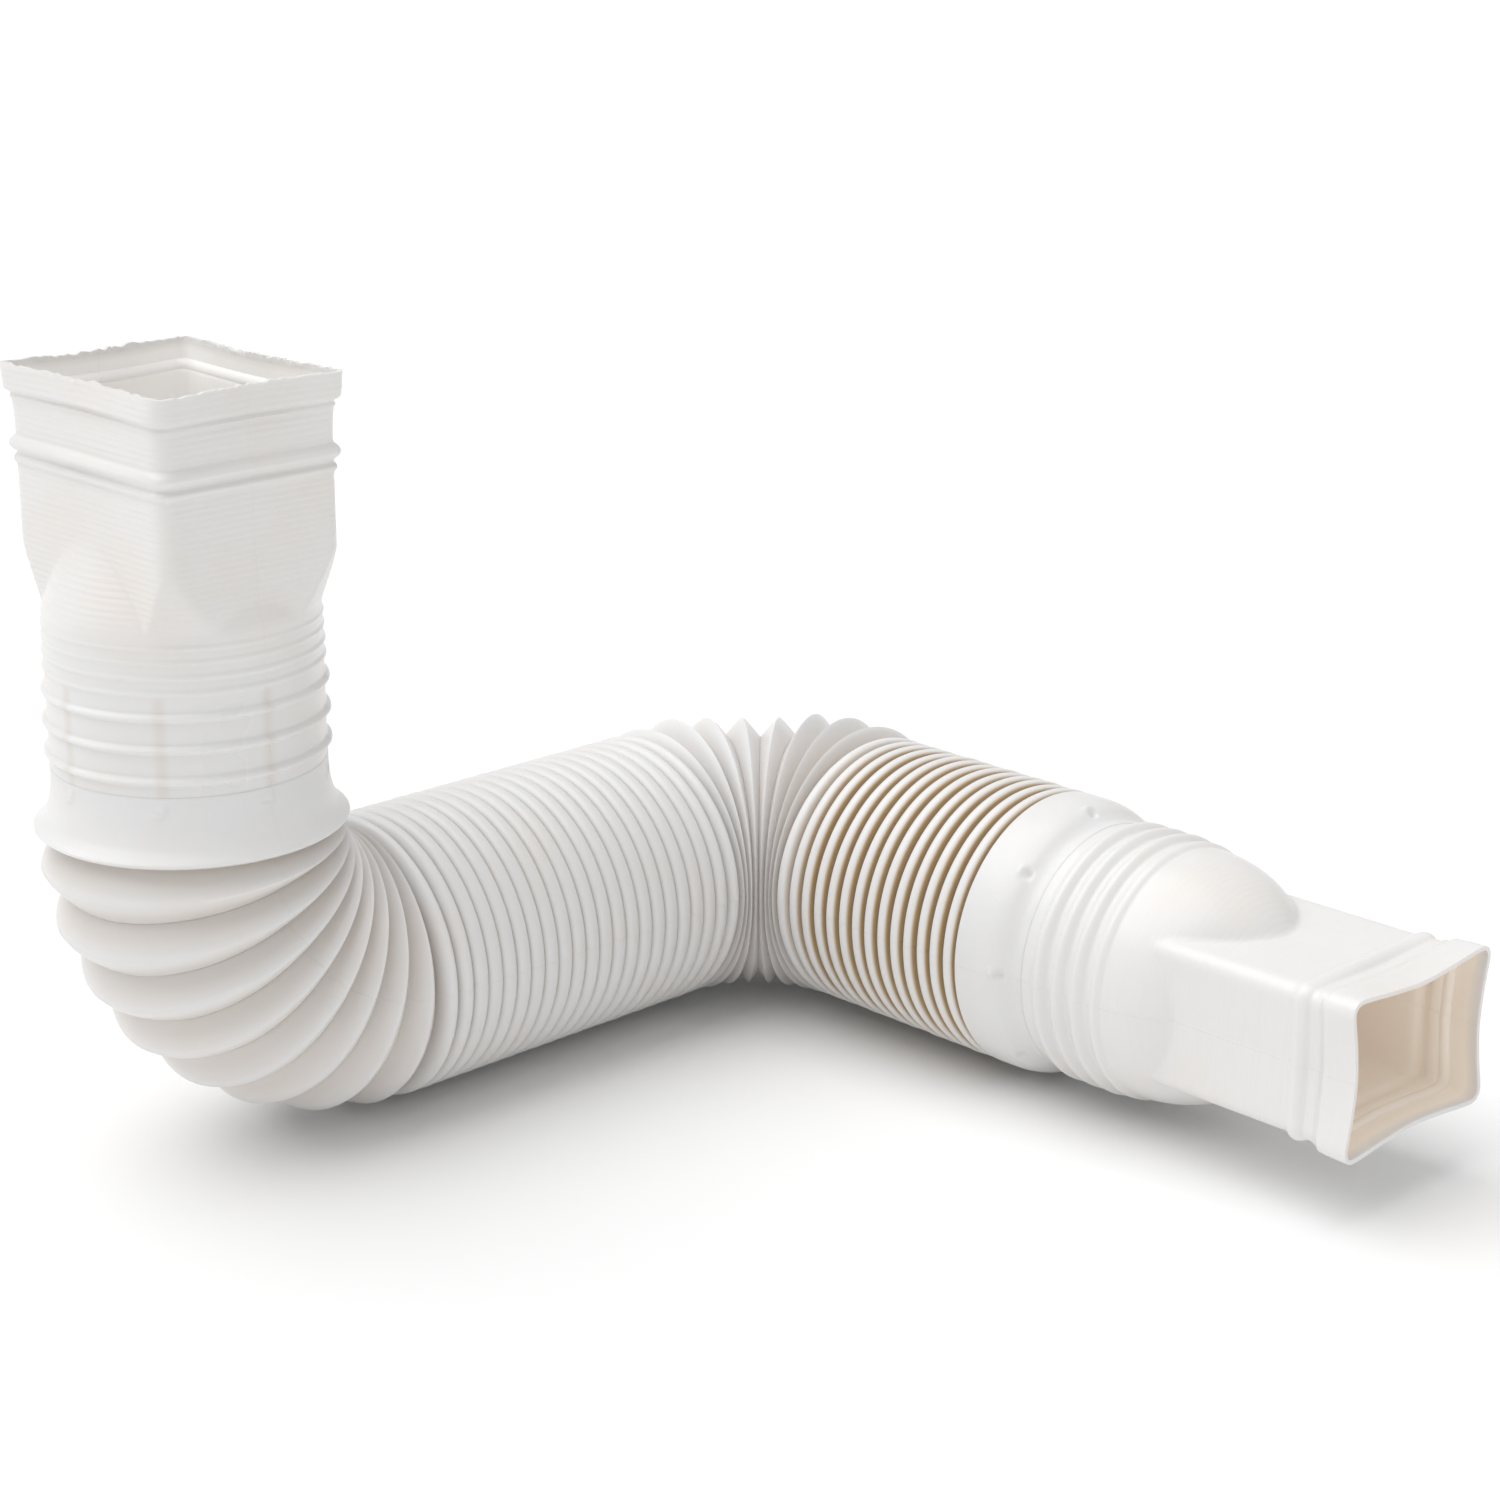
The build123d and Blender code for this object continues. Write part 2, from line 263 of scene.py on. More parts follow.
class VinylSettings(bpy.types.PropertyGroup):
    """Colours of the vinyl, with the painted shade of its folds and the painted light and shade of
    its inner walls
    """
    skin: bpy.props.FloatVectorProperty(
        name="Vinyl", description="Lit skin of every piece", subtype="COLOR", size=3,
        min=0, max=1, default=(0.785, 0.782, 0.778))
    warm: bpy.props.FloatVectorProperty(
        name="Warm tint", description="Where light comes through two walls", subtype="COLOR",
        size=3, min=0, max=1, default=(0.79, 0.735, 0.68))
    # fold_grey and fold_tan are painted shade: the colours that the folds' valleys darken to.
    # fold_grey also darkens the bars on the inlet's neck.
    fold_grey: bpy.props.FloatVectorProperty(
        name="Fold grey", description="Valleys of the clean folds", subtype="COLOR", size=3,
        min=0, max=1, default=(0.60, 0.56, 0.53))
    fold_tan: bpy.props.FloatVectorProperty(
        name="Fold tan", description="Valleys of the second leg's folds", subtype="COLOR",
        size=3, min=0, max=1, default=(0.42, 0.28, 0.11))
    # inside_tan and inside_pale are painted light and shade: the tint and glow that the inner walls
    # get in place of the light and shade inside the hose and the connectors
    inside_tan: bpy.props.FloatVectorProperty(
        name="Inside, lower end", description="Inner walls of the hose and the outlet",
        subtype="COLOR", size=3, min=0, max=1, default=(0.88, 0.80, 0.71))
    inside_pale: bpy.props.FloatVectorProperty(
        name="Inside, upper end", description="Inner walls of the inlet",
        subtype="COLOR", size=3, min=0, max=1, default=(0.88, 0.865, 0.845))


class StageSettings(bpy.types.PropertyGroup):
    """Floor, light and camera"""
    key_strength: bpy.props.FloatProperty(
        name="Key light", description="Strength of the wide light from above on the left",
        default=1.9, min=0)
    key_spread: bpy.props.FloatProperty(
        name="Key spread", description="Width of the key light as seen from the duct",
        default=radians(70), subtype="ANGLE")
    room: bpy.props.FloatProperty(
        name="Room light", description="Strength of the even light from all round",
        default=0.62, min=0)
    lens: bpy.props.FloatProperty(
        name="Lens", description="Focal length on a 36 mm frame", default=74.2, min=20)


SETTINGS = {"duct_hose": HoseSettings, "duct_connectors": ConnectorSettings,
            "duct_vinyl": VinylSettings, "duct_stage": StageSettings}


def settings(name):
    return getattr(bpy.context.scene, name)


# ---------------------------------------------------------------- vinyl, as node trees

class Signal:
    """A shader socket that takes part in Python arithmetic by adding Math nodes."""

    def __init__(self, finish, socket):
        self.finish = finish
        self.socket = socket

    def math(self, operation, *others):
        return self.finish.node("ShaderNodeMath", {"operation": operation}, self, *others)

    def __add__(self, other):
        return self.math("ADD", other)

    def __sub__(self, other):
        return self.math("SUBTRACT", other)

    def __mul__(self, other):
        return self.math("MULTIPLY", other)

    def __truediv__(self, other):
        return self.math("DIVIDE", other)

    def __rsub__(self, other):
        return self.finish.node("ShaderNodeMath", {"operation": "SUBTRACT"}, other, self)

    __radd__ = __add__
    __rmul__ = __mul__

    def limited(self):
        return self.finish.node("ShaderNodeClamp", {}, self)

    def step(self, low, high):
        """0 below low and 1 above high, with a smooth rise between."""
        return self.finish.node("ShaderNodeMapRange", {"interpolation_type": "SMOOTHSTEP"},
                                self, low, high, 0.0, 1.0)


class Finish:
    """One material under construction."""

    def __init__(self, name):
        self.material = bpy.data.materials.new(name)
        self.material.use_nodes = True
        self.tree = self.material.node_tree
        self.tree.nodes.clear()
        self.output = self.tree.nodes.new("ShaderNodeOutputMaterial")

    def feed(self, socket, value):
        if isinstance(value, Signal):
            self.tree.links.new(value.socket, socket)
        elif value is not None:
            socket.default_value = value

    def node(self, kind, options, *values, out=0, **named):
        """Any node: its options first, then its sockets in order or by name."""
        made = self.tree.nodes.new(kind)
        for option, setting in options.items():
            setattr(made, option, setting)
        for socket, value in zip(made.inputs, values):
            self.feed(socket, value)
        for name, value in named.items():
            self.feed(made.inputs[name], value)
        return Signal(self, made.outputs[out])

    def place(self):
        """Object coordinates, in metres, as three numbers."""
        where = self.node("ShaderNodeTexCoord", {}, out=3)
        split = self.node("ShaderNodeSeparateXYZ", {}, where)
        rest = split.socket.node.outputs
        return where, [Signal(self, rest[0]), Signal(self, rest[1]), Signal(self, rest[2])]

    def stored(self, name):
        return self.node("ShaderNodeAttribute", {"attribute_name": name}, out=2)

    def noise(self, where, scale, detail=3.0, roughness=0.5):
        return self.node("ShaderNodeTexNoise", {}, Vector=where, Scale=scale, Detail=detail,
                         Roughness=roughness)

    def stretched(self, where, x, y, z):
        return self.node("ShaderNodeMapping", {}, where, Scale=(x, y, z))

    def mix(self, factor, low, high):
        made = self.tree.nodes.new("ShaderNodeMix")
        made.data_type = "RGBA"
        self.feed(made.inputs["Factor"], factor)
        for socket, value in ((made.inputs[6], low), (made.inputs[7], high)):
            self.feed(socket, value if isinstance(value, Signal) else (*value, 1.0))
        return Signal(self, made.outputs[2])

    def bump(self, height, distance):
        return self.node("ShaderNodeBump", {}, Strength=0.6, Distance=distance, Height=height)

    def vinyl(self, colour, roughness, normal, glow):
        """Glossy vinyl with a little light carried under its skin, and a painted glow (emission)
        that stands in for light coming through its walls.
        """
        made = self.tree.nodes.new("ShaderNodeBsdfPrincipled")
        self.feed(made.inputs["Base Color"], colour)
        self.feed(made.inputs["Emission Color"], glow)
        made.inputs["Emission Strength"].default_value = 0.10
        self.feed(made.inputs["Roughness"], roughness)
        self.feed(made.inputs["Normal"], normal)
        made.inputs["IOR"].default_value = 1.46
        made.inputs["Subsurface Weight"].default_value = 0.25
        made.inputs["Subsurface Radius"].default_value = (1.0, 0.85, 0.7)
        made.inputs["Subsurface Scale"].default_value = 3.0 * MM
        made.inputs["Coat Weight"].default_value = 0.12
        made.inputs["Coat Roughness"].default_value = 0.22
        self.tree.links.new(made.outputs[0], self.output.inputs[0])
        return self.material


RIDGE_HALF_WIDTH = 0.55     # of the parting line, in the millimetres that "seam" is stored in
LINE_PITCH = 2.4 * MM       # of the fine lines across the connectors


def parting_ridge(skin):
    """The thin ridge that the mould's parting line leaves along both sides."""
    off = skin.stored("seam").math("ABSOLUTE")
    return (1.0 - off / RIDGE_HALF_WIDTH).limited()


def pleated_vinyl(name):
    """White skin with painted shade in its folds: a warm grey, or tan where the tan shade mask is
    high.
    """
    tint = settings("duct_vinyl")
    skin = Finish(name)
    where, _ = skin.place()
    crest, tan_shade, inside = skin.stored("crest"), skin.stored("tan_shade"), skin.stored("inside")
    cloud = skin.noise(where, 28.0)
    grain = skin.noise(where, 900.0, 2.0)
    open_skin = skin.mix(cloud.step(0.35, 0.75) * 0.35, tint.skin[:], tint.warm[:])
    # The painted shade colour of the folds: warm grey, turning tan where the tan shade mask is high
    valley = skin.mix(tan_shade.step(0.1, 0.7), tint.fold_grey[:], tint.fold_tan[:])
    # Painted shade: the folds darken towards their valleys, faintly in grey where the tan shade mask
    # is low and fully in tan where it is high
    grey_fold_shade = (1.0 - crest.step(0.35, 0.90)) * (1.0 - tan_shade) * 0.35
    tan_fold_shade = (1.0 - crest.step(0.80, 0.965)) * tan_shade
    colour = skin.mix((grey_fold_shade + tan_fold_shade).limited(), open_skin, valley)
    # Painted glow: a warm light painted into the lower parts of the folds wherever the tan shade
    # mask is set
    painted_fold_glow = (1.0 - crest.step(0.5, 1.0)) * tan_shade.step(0.05, 0.2) * 0.2
    colour = skin.mix(painted_fold_glow, colour, tint.warm[:])
    # Painted shade: the inner walls are tinted tan
    colour = skin.mix(inside * 0.8, colour, tint.inside_tan[:])
    roughness = cloud * 0.12 + 0.30
    height = grain * 0.25 + cloud * 0.2 + parting_ridge(skin) * 0.55
    normal = skin.bump(height, 0.35 * MM)
    # Painted glow: the inner walls give off a little tan light
    glow = skin.mix(inside, BLACK, tint.inside_tan[:])
    return skin.vinyl(colour, roughness, normal, glow)


def smooth_vinyl(name, lines_axis, line_strength, painted_inside):
    """White skin with the fine lines that the mould leaves across it, and a painted tint and glow on
    its inner walls for the light and shade inside.
    """
    tint = settings("duct_vinyl")
    skin = Finish(name)
    where, axes = skin.place()
    inside, lines, bar = skin.stored("inside"), skin.stored("lines"), skin.stored("bar")
    cloud = skin.noise(where, 22.0)
    grain = skin.noise(where, 700.0, 2.0)
    along = [40.0, 40.0, 40.0]
    along[lines_axis] = 900.0
    streak = skin.noise(skin.stretched(where, *along), 1.0, 3.0, 0.65)
    warm = (cloud.step(0.42, 0.75) * 0.5 + streak.step(0.45, 0.7) * lines * 0.25
            + bar * 0.5).limited()
    colour = skin.mix(warm, tint.skin[:], tint.warm[:])
    colour = skin.mix(bar * 0.22, colour, tint.fold_grey[:])
    # Painted light and shade: the inner walls take the painted inner tint
    colour = skin.mix(inside * 0.85, colour, painted_inside)
    roughness = cloud * 0.1 + streak * lines * 0.12 + 0.24
    ridges = axes[lines_axis] * (tau / LINE_PITCH) + streak * 3.0
    detail = ridges.math("SINE") * lines * 0.4 + streak * lines * 0.8
    detail = detail * (1.0 - inside)
    height = detail * line_strength + grain * 0.08 + parting_ridge(skin) * 0.8
    normal = skin.bump(height, 0.22 * MM)
    # Painted glow: the inner walls give off a little light of the painted inner colour
    return skin.vinyl(colour, roughness, normal, skin.mix(inside, BLACK, painted_inside))


def vinyl_for(kind):
    made = bpy.data.materials.get(kind)
    if made:
        return made
    if kind == "hose_vinyl":
        return pleated_vinyl(kind)
    tint = settings("duct_vinyl")
    if kind == "inlet_vinyl":
        return smooth_vinyl(kind, 2, 1.0, tint.inside_pale[:])
    return smooth_vinyl(kind, 1, 0.3, tint.inside_tan[:])


# ---------------------------------------------------------------- pleats

def closed_rise(share):
    """Outline of a shut pleat, 0 in its valleys and 1 on its crest: a round band."""
    return (1 - abs(2 * share - 1) ** 2.7) ** 0.42


def rippled_rise(share):
    """Outline of a shut pleat of the first leg: a softer ripple."""
    return (1 - abs(2 * share - 1) ** 2.3) ** 0.5


def open_rise(share):
    """Outline of a fanned pleat of the first bend: full flanks to a narrow rounded crest."""
    return 1 - (((2 * share - 1) ** 2 + 0.006) / 1.006) ** 0.62


def tent_rise(share):
    """Outline of a fanned pleat of the second bend: straight flanks to a narrow crest."""
    return 1 - sqrt((2 * share - 1) ** 2 + 0.006) + 0.08 * (1 - abs(2 * share - 1))


# Shares along the first half of a pleat at which its outline has points
PROFILE = (0.0, 0.015, 0.045, 0.09, 0.16, 0.26, 0.38, 0.5)


def pleat_loop(rise, depth, wall, wall_share):
    """One closed outline of a pleat: (share along it, rise off the valley, is it the inner side)."""
    shares = list(PROFILE) + [1 - share for share in reversed(PROFILE[:-1])]
    outer = [(share, rise(share) * depth, 0.0) for share in shares]
    inner = []
    for share in reversed(shares):
        narrowed = 0.5 + (share - 0.5) * (1 - wall_share * smooth_step(0.0, 0.12, share)
                                          * smooth_step(0.0, 0.12, 1 - share))
        inner.append((narrowed, rise(share) * (depth - wall * 0.4) - wall, 1.0))
    return outer + inner


def spun_pleat(name, rise, columns, depth, wall, wall_share):
    """A pleat in its own measure: z is the share along it, and the radius is the rise plus 1.

    wall_share is how much narrower its inner side is than its outer side.
    """
    loop = pleat_loop(rise, depth, wall, wall_share)
    bpy.ops.mesh.primitive_circle_add(vertices=len(loop), radius=1)
    piece = new_piece(name)
    place_points(piece, [(1 + height, 0, share) for share, height, _ in loop])
    edit(piece, lambda: bpy.ops.mesh.spin(
        steps=columns, angle=tau, center=(0, 0, 0), axis=(0, 0, 1)))
    piece.data.update()
    edit(piece, lambda: bpy.ops.mesh.remove_doubles(threshold=1e-6))
    points = read_points(piece)
    heights = np.hypot(points[:, 0], points[:, 1]) - 1
    keys = np.array(loop)
    far = (points[:, None, 2] - keys[:, 0]) ** 2 + ((heights[:, None] - keys[:, 1]) / depth) ** 2
    store(piece, "inside", keys[far.argmin(1), 2])
    store(piece, "crest", np.clip(heights / depth, 0, 1))
    return piece


def angle_of(points):
    return np.arctan2(points[:, 1], points[:, 0])


def lay_straight(points, depth, start, along, side, up, pitch, feet, ripple):
    """Lay a pleat's own measure out straight: one pitch long from start."""
    turn = angle_of(points)
    share = points[:, 2]
    height = np.hypot(points[:, 0], points[:, 1]) - 1
    foot = feet[0] * (1 - share) + feet[1] * share
    radius = foot + height / depth * (CREST - foot) * ripple(turn)
    across = np.outer(radius * np.cos(turn), side) + np.outer(radius * np.sin(turn), up)
    return np.array(start) + np.outer(share * pitch, along) + across


def lay_round(points, depth, centre, outward, along, bend_radius, first, step, feet, crest):
    """Lay a pleat's own measure out round a bend, over the angle step from the angle first."""
    turn = angle_of(points)
    share = points[:, 2]
    height = np.hypot(points[:, 0], points[:, 1]) - 1
    outer_side = (0.5 + 0.5 * np.cos(turn)) ** 1.4
    foot = feet[0](outer_side) * (1 - share) + feet[1](outer_side) * share
    radius = foot + height / depth * (crest(outer_side, turn) - foot)
    angle = first + step * share
    out = np.outer(np.cos(angle), outward) + np.outer(np.sin(angle), along)
    bend_axis = np.cross(along, outward)
    reach = bend_radius + radius * np.cos(turn)
    return np.array(centre) + out * reach[:, None] + np.outer(radius * np.sin(turn), bend_axis)


def joint_over(node):
    """The joint that a pleat folds over, or None for the pleat that is held still."""
    for joint in JOINTS:
        if node in [deforming["node"] for deforming in joint.get("deforming_nodes", [])]:
            return joint
    return None


def tie_pleat(piece, node, runs_back):
    """Bake the placement of a pleat that folds over a joint, still in its own measure.

    In that measure its two valleys are level planes. Laid round a bend the valleys are no
    longer parallel, and each point keeps its share.
    """
    joint = joint_over(node)
    if joint is None:
        return
    ends = [(0, 0, 0), (0, 0, 1)]
    if runs_back:
        ends.reverse()
    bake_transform(piece)


def finish_pleat(piece, node):
    """Smooth a pleat, paint it and let it stand for its node."""
    edit(piece, face_outwards)
    smooth_shade(piece, 50)
    piece.data.materials.append(vinyl_for("hose_vinyl"))
    if joint_over(node) is None:
        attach(piece, node)
    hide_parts(node)


def copy_piece(original, name):
    piece = original.copy()
    piece.data = original.data.copy()
    piece.name = name
    piece.data.name = name
    bpy.context.scene.collection.objects.link(piece)
    return piece


def remove_piece(piece):
    mesh = piece.data
    bpy.data.objects.remove(piece)
    bpy.data.meshes.remove(mesh)


def skin_name(node):
    return node.replace("_pleat_", "_skin_")


def uneven(turn, index, size):
    """A slow waver round a pleat, its own for each pleat."""
    lean = np.sin(turn + index * 2.4) * 0.5 + np.sin(turn * 2 - index * 1.3) * 0.3
    return size * (lean + np.sin(turn * 5 + index * 4.1) * 0.2)


def make_leg(nodes, rise, start, along, side, tan_shade, shallow):
    """The shut pleats of a straight leg: one pattern, copied along it.

    rise is their outline, the tan shade argument gives how much tan shade is painted into a fold by
    its share along the leg, and shallow is how much less deep they are than the hose's pleats
    elsewhere.
    """
    hose = settings("duct_hose")
    depth = hose.pleat_depth
    deselect_all()
    pattern = spun_pleat("leg_pattern", rise, hose.columns, depth, hose.wall, wall_share=0.24)
    own = read_points(pattern)
    turn = angle_of(own)
    count = len(nodes)

    def foot_at(plane):
        return CREST - depth + shallow * smooth_step(0, 2.5, min(plane, count - plane))

    for index, node in enumerate(nodes):
        piece = copy_piece(pattern, skin_name(node))
        tie_pleat(piece, node, False)
        place_points(piece, lay_straight(
            own, depth, start + along * (index * PITCH), along, side, UP, PITCH,
            (foot_at(index), foot_at(index + 1)),
            lambda turn, index=index: 1 + uneven(turn, index, 0.03)))
        # Painted tan shade for this fold, by its place along the leg
        store(piece, "tan_shade", np.full(len(own), tan_shade((index + 0.5) / count)))
        store_seam(piece, turn, np.full(len(own), CREST), 0)
        finish_pleat(piece, node)
    remove_piece(pattern)


def make_bend(nodes, rises, centre, outward, along, radius, tan_shade, runs_back, inner_lift,
              proud, waver, seam_at):
    """The fanned pleats of a bend: a pattern for each outline, copied round it.

    rises has one outline for each pleat, and proud gives how far its crest stands out.
    runs_back says that the joints run against the pleats' order. inner_lift is how far the
    valleys rise on the inside of the bend, and waver is how uneven the crests are.
    """
    hose = settings("duct_hose")
    depth = hose.pleat_depth
    deselect_all()
    patterns = {rise: spun_pleat("bend_pattern", rise, hose.columns, depth, hose.wall,
                                 wall_share=0.10)
                for rise in sorted(set(rises), key=lambda rise: rise.__name__)}
    count = len(nodes)
    step = pi / 2 / count

    def foot_at(plane):
        rise = smooth_step(0, 1.5, min(plane, count - plane))
        return lambda outer_side: CREST - depth + rise * (
            hose.open_lift * outer_side + inner_lift * (1 - outer_side) ** 3)

    for index, node in enumerate(nodes):
        pattern = patterns[rises[index]]
        own = read_points(pattern)
        turn = angle_of(own)
        piece = copy_piece(pattern, skin_name(node))
        tie_pleat(piece, node, runs_back)

        def crest(outer_side, turn, index=index):
            waves = depth * outer_side * uneven(turn, index, waver)
            upper = np.clip(np.sin(turn), 0, 1) ** 2
            return CREST + proud(index) * (0.6 * outer_side + 0.7 * upper) + waves

        place_points(piece, lay_round(
            own, depth, centre, np.array(outward), np.array(along), radius, index * step, step,
            (foot_at(index), foot_at(index + 1)), crest))
        # Painted tan shade and warm glow for this fold, by its place along the bend
        store(piece, "tan_shade", np.full(len(own), tan_shade((index + 0.5) / count)))
        store_seam(piece, turn, np.full(len(own), CREST), seam_at)
        finish_pleat(piece, node)
    for pattern in patterns.values():
        remove_piece(pattern)


# ---------------------------------------------------------------- shells rolled from an outline

def curve_through(points, count):
    """A smooth line of (radius, height) points through a few chosen ones."""
    keys = [Vector(point) for point in points]
    keys = [keys[0] * 2 - keys[1]] + keys + [keys[-1] * 2 - keys[-2]]
    line = []
    for i in range(1, len(keys) - 2):
        before, here, there, after = keys[i - 1:i + 3]
        for step in range(count):
            t = step / count
            line.append(0.5 * (here * 2 + (there - before) * t
                               + (before * 2 - here * 5 + there * 4 - after) * t * t
                               + (here * 3 - before - there * 3 + after) * t ** 3))
    line.append(keys[-2])
    return [tuple(point) for point in line]


def wrapped_tube(name, columns, stations, shape):
    """A grid rolled into a tube; shape(turn, station) gives the (radius, height) of each point."""
    rows = len(stations)
    bpy.ops.mesh.primitive_grid_add(x_subdivisions=columns, y_subdivisions=rows - 1, size=1)
    piece = new_piece(name)
    points = []
    for vertex in piece.data.vertices:
        turn = (vertex.co.x + 0.5) * tau % tau
        station = stations[round((vertex.co.y + 0.5) * (rows - 1))]
        radius, height = shape(turn, station)
        points.append((radius * cos(turn), radius * sin(turn), height))
    place_points(piece, points)
    edit(piece, weld)
    return piece


def store_seam(piece, turns, radii, at):
    """Distance along the skin from the mould's parting line, in millimetres."""
    off = (np.asarray(turns) - at + pi / 2) % pi - pi / 2
    store(piece, "seam", off * np.asarray(radii) / MM)


def put_in_place(piece, points, origin, x_axis, y_axis, z_axis):
    axes = np.array([x_axis, y_axis, z_axis], float)
    place_points(piece, points @ axes + np.array(origin, float))


# The inner colour is painted light and shade: a tint and glow on the inner walls, kept back from the
# rims
RIM_BARE = 1.6 * MM         # depth to which a shell's inner side keeps its outer colour at a rim
RIM_FADE = 4.0 * MM         # depth over which its inner colour then comes in


def finish_shell(piece, wall, heights):
    """Outward faces, then a wall inwards whose inner side is marked, short of its rims."""
    edit(piece, face_outwards)
    outer = len(piece.data.vertices)
    apply_wall(piece, wall)
    from_rim = np.minimum(heights - heights.min(), heights.max() - heights)
    marks = np.zeros(len(piece.data.vertices))
    marks[outer:] = np.clip((from_rim - RIM_BARE) / RIM_FADE, 0, 1)
    store(piece, "inside", marks)
    smooth_shade(piece, 60)


# ---------------------------------------------------------------- connectors

def rounded_rectangle(turn, half_wide, half_deep, corner):
    """Reach from the middle of a rounded rectangle to its edge."""
    across, up = abs(cos(turn)), abs(sin(turn))
    if across > 1e-9 and half_wide / across * up <= half_deep - corner:
        return half_wide / across
    if up > 1e-9 and half_deep / up * across <= half_wide - corner:
        return half_deep / up
    x, y = half_wide - corner, half_deep - corner
    along = x * across + y * up
    return along + sqrt(max(0.0, along * along - (x * x + y * y - corner * corner)))


def cornerness(turn, half_wide, half_deep):
    """0 at the middle of a rectangle's sides and 1 at its corners."""
    x, y = abs(cos(turn)) * half_deep, abs(sin(turn)) * half_wide
    return min(x, y) / max(x, y)


# Details of the two connectors in millimetres, with heights up from the mouth. The body's corners
# rise from the neck on a cone, and its lobes on a dome: its length, the power and root of its
# outline, and how much longer it is at the sides and at the top. crisp and corner_crisp are the
# widths of the rounding where they meet the body. Each rib or bead is its height, its half width
# and how far it stands out. flare and bow pull the rim's corners out and its sides in, and bars
# is the height up to which the neck has its moulded bars.
INLET = {
    "neck": 61, "cone": 32, "dome": 99, "dome_power": 1.15, "dome_root": 1.0, "corner": 6,
    "side_lobe": 0.0, "top_lobe": 0.0, "crisp": 0.5, "corner_crisp": 1.0,
    "bars": 39, "lip": 11.5, "lip_out": 2.4, "flare": 2.0, "bow": 3.0,
    "beads": ((120.6, 3.4, 3.0), (114.6, 2.0, 1.4)),
    "ribs": ((6.0, 2.0, 2.1), (18.2, 2.0, 2.1), (30.4, 2.0, 1.9), (39.5, 1.5, 0.9),
             (45.5, 1.4, 0.8), (51.2, 1.3, 0.6), (56.5, 1.2, 0.5))}
OUTLET = {
    "neck": 40, "cone": 20, "dome": 36.5, "dome_power": 2.0, "dome_root": 0.5, "corner": 6,
    "side_lobe": 0.3, "top_lobe": 0.64, "crisp": 0.7, "corner_crisp": 1.4,
    "bars": 0, "lip": 15, "lip_out": 2.4, "flare": 1.8, "bow": 3.2,
    "beads": ((127.5, 4.6, 2.1),),
    "ribs": ((9.0, 3.9, 2.7), (18.6, 3.9, 2.7), (28.2, 3.9, 2.6), (37.4, 3.4, 1.6))}
NECK_RADIUS = CREST - 6.5 * MM
SPIGOT_STEP = 1.3 * MM      # how much thinner the hidden spigot is than the neck
SPIGOT_TOP = -0.4 * MM      # where it ends, just below the mouth
LIP_STEP = 1.8 * MM         # height over which a lip steps out
LIP_BEAD = 0.7 * MM         # rise of the fine bead under a lip
SIDE_SAG = 0.5 * MM         # how far the middle of a body's side sinks in


def connector_reach(form, half_wide, half_deep, top, turn, height):
    """Distance of a connector's skin from its axis, with its ribs, lobes, beads and lip."""
    neck = form["neck"] * MM
    above = height - neck
    reach = NECK_RADIUS - SPIGOT_STEP * (1 - smooth_step(SPIGOT_TOP - MM, SPIGOT_TOP, height))
    for place, half, rise in form["ribs"]:
        reach += rise * MM * hump(height, place * MM, half * MM) ** 0.8
    if above <= 0:
        return reach
    rectangle = rounded_rectangle(turn, half_wide, half_deep, form["corner"] * MM)
    corners = hypot(half_wide, half_deep) + MM
    cone = NECK_RADIUS + above / (form["cone"] * MM) * (corners - NECK_RADIUS)
    gain = form["side_lobe"] * cos(turn) ** 2 + form["top_lobe"] * sin(turn) ** 2
    dome_share = min(1.0, above / (form["dome"] * MM * (1 + gain)))
    dome = NECK_RADIUS * (1 - dome_share ** form["dome_power"]) ** form["dome_root"]
    body = soft_min(rectangle, cone, form["corner_crisp"] * MM)
    reach += soft_max(dome, body, form["crisp"] * MM) - NECK_RADIUS
    corner_share = cornerness(turn, half_wide, half_deep)
    for place, half, rise in form["beads"]:
        reach += rise * MM * hump(height, place * MM, half * MM) ** 0.7
    lip_start = top - form["lip"] * MM
    reach += form["lip_out"] * MM * smooth_step(lip_start, lip_start + LIP_STEP, height)
    reach += LIP_BEAD * hump(height, lip_start - 1.4 * MM, 0.9 * MM)
    pulled = smooth_step(top - form["lip"] * 2.3 * MM, top, height) ** 1.3
    pull = form["flare"] * smooth_step(0.45, 1, corner_share) - form["bow"] * (
        1 - smooth_step(0, 1, corner_share))
    sag = sin(pi * min(1.0, above / (top - neck))) * (1 - corner_share) ** 2
    return reach + pulled * pull * MM - SIDE_SAG * sag


def connector_rows(form, top):
    """Heights of a connector's rows: close together at its ribs, beads and lip."""
    heights = [-SPIGOT, -SPIGOT + 1.2 * MM, -SPIGOT + 2.4 * MM, -SPIGOT / 2, -1.5 * MM,
               -0.9 * MM, -0.4 * MM]
    busy = [(place - half - 0.6, place + half + 0.6)
            for place, half, _ in form["ribs"] + form["beads"]]
    busy.append((top / MM - form["lip"] - 3, top / MM))
    here = 0.0
    while here < top - 0.3 * MM:
        heights.append(here)
        fine = any(low * MM <= here <= high * MM for low, high in busy)
        here += (0.6 if fine else 1.7) * MM
    return heights + [top]


